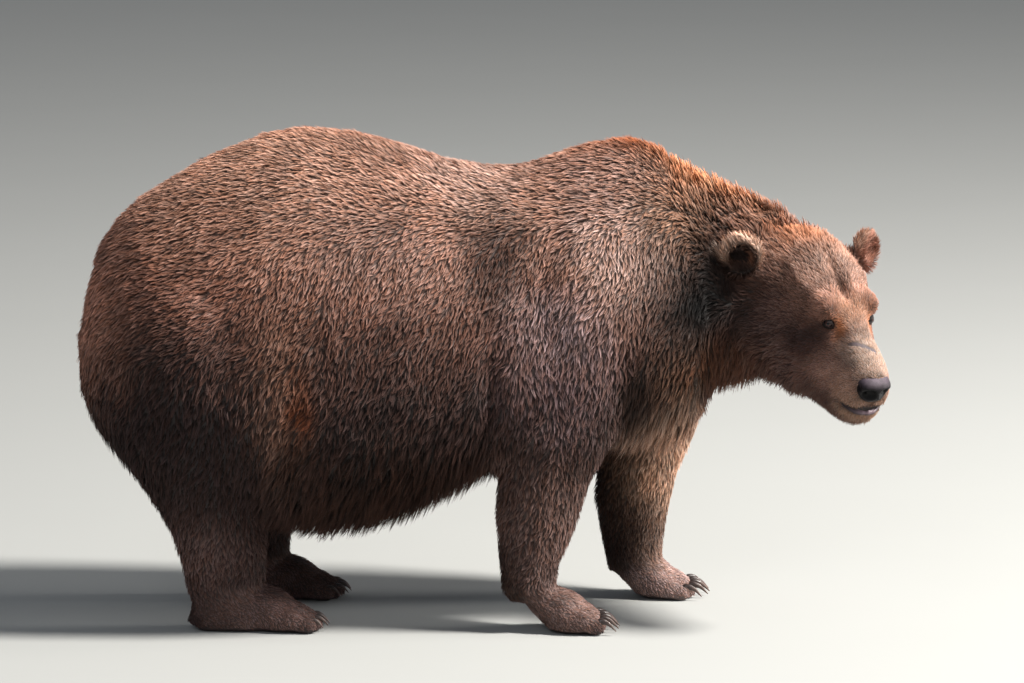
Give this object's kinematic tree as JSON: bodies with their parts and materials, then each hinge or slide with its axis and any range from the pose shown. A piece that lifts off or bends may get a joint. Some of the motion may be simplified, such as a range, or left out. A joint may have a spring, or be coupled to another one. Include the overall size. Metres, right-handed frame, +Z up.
{
  "type": "grizzly bear",
  "caption": "Still, life-size model of a heavy adult grizzly bear on all fours, with its head lowered and turned to its right. It stands on its own flat soles.",
  "frame": {"origin": "on the floor, at the middle of the underside of the box round the whole bear as it stands", "axes": "+X from tail to head, along the body; +Y to the bear's left; +Z up from the soles"},
  "size_m": [1.9244, 0.8526, 1.1786],
  "materials": {
    "coat": "brown fur of wet, clumped locks, darker on the legs, belly and neck, tan on the muzzle and ears",
    "nose_leather": "finely pebbled dark grey nose leather, damp",
    "eye": "polished dark brown, wet",
    "claw": "dark horn, satin, paler towards the tips"
  },
  "bodies": {
    "root": {"trunk": "coat", "neck": "coat", "head": "coat", "lower_jaw": "coat", "nose": "nose_leather", "tail": "coat", "ear_right": "coat", "ear_left": "coat", "eye_right": "eye", "eye_left": "eye", "foreleg_right": "coat", "foreleg_left": "coat", "hindleg_right": "coat", "hindleg_left": "coat", "forepaw_right": "coat", "forepaw_left": "coat", "hindpaw_right": "coat", "hindpaw_left": "coat", "forepaw_right_claw_1": "claw", "forepaw_right_claw_2": "claw", "forepaw_right_claw_3": "claw", "forepaw_right_claw_4": "claw", "forepaw_right_claw_5": "claw", "forepaw_left_claw_1": "claw", "forepaw_left_claw_2": "claw", "forepaw_left_claw_3": "claw", "forepaw_left_claw_4": "claw", "forepaw_left_claw_5": "claw", "hindpaw_right_claw_1": "claw", "hindpaw_right_claw_2": "claw", "hindpaw_right_claw_3": "claw", "hindpaw_right_claw_4": "claw", "hindpaw_right_claw_5": "claw", "hindpaw_left_claw_1": "claw", "hindpaw_left_claw_2": "claw", "hindpaw_left_claw_3": "claw", "hindpaw_left_claw_4": "claw", "hindpaw_left_claw_5": "claw"}
  },
  "joints": []
}
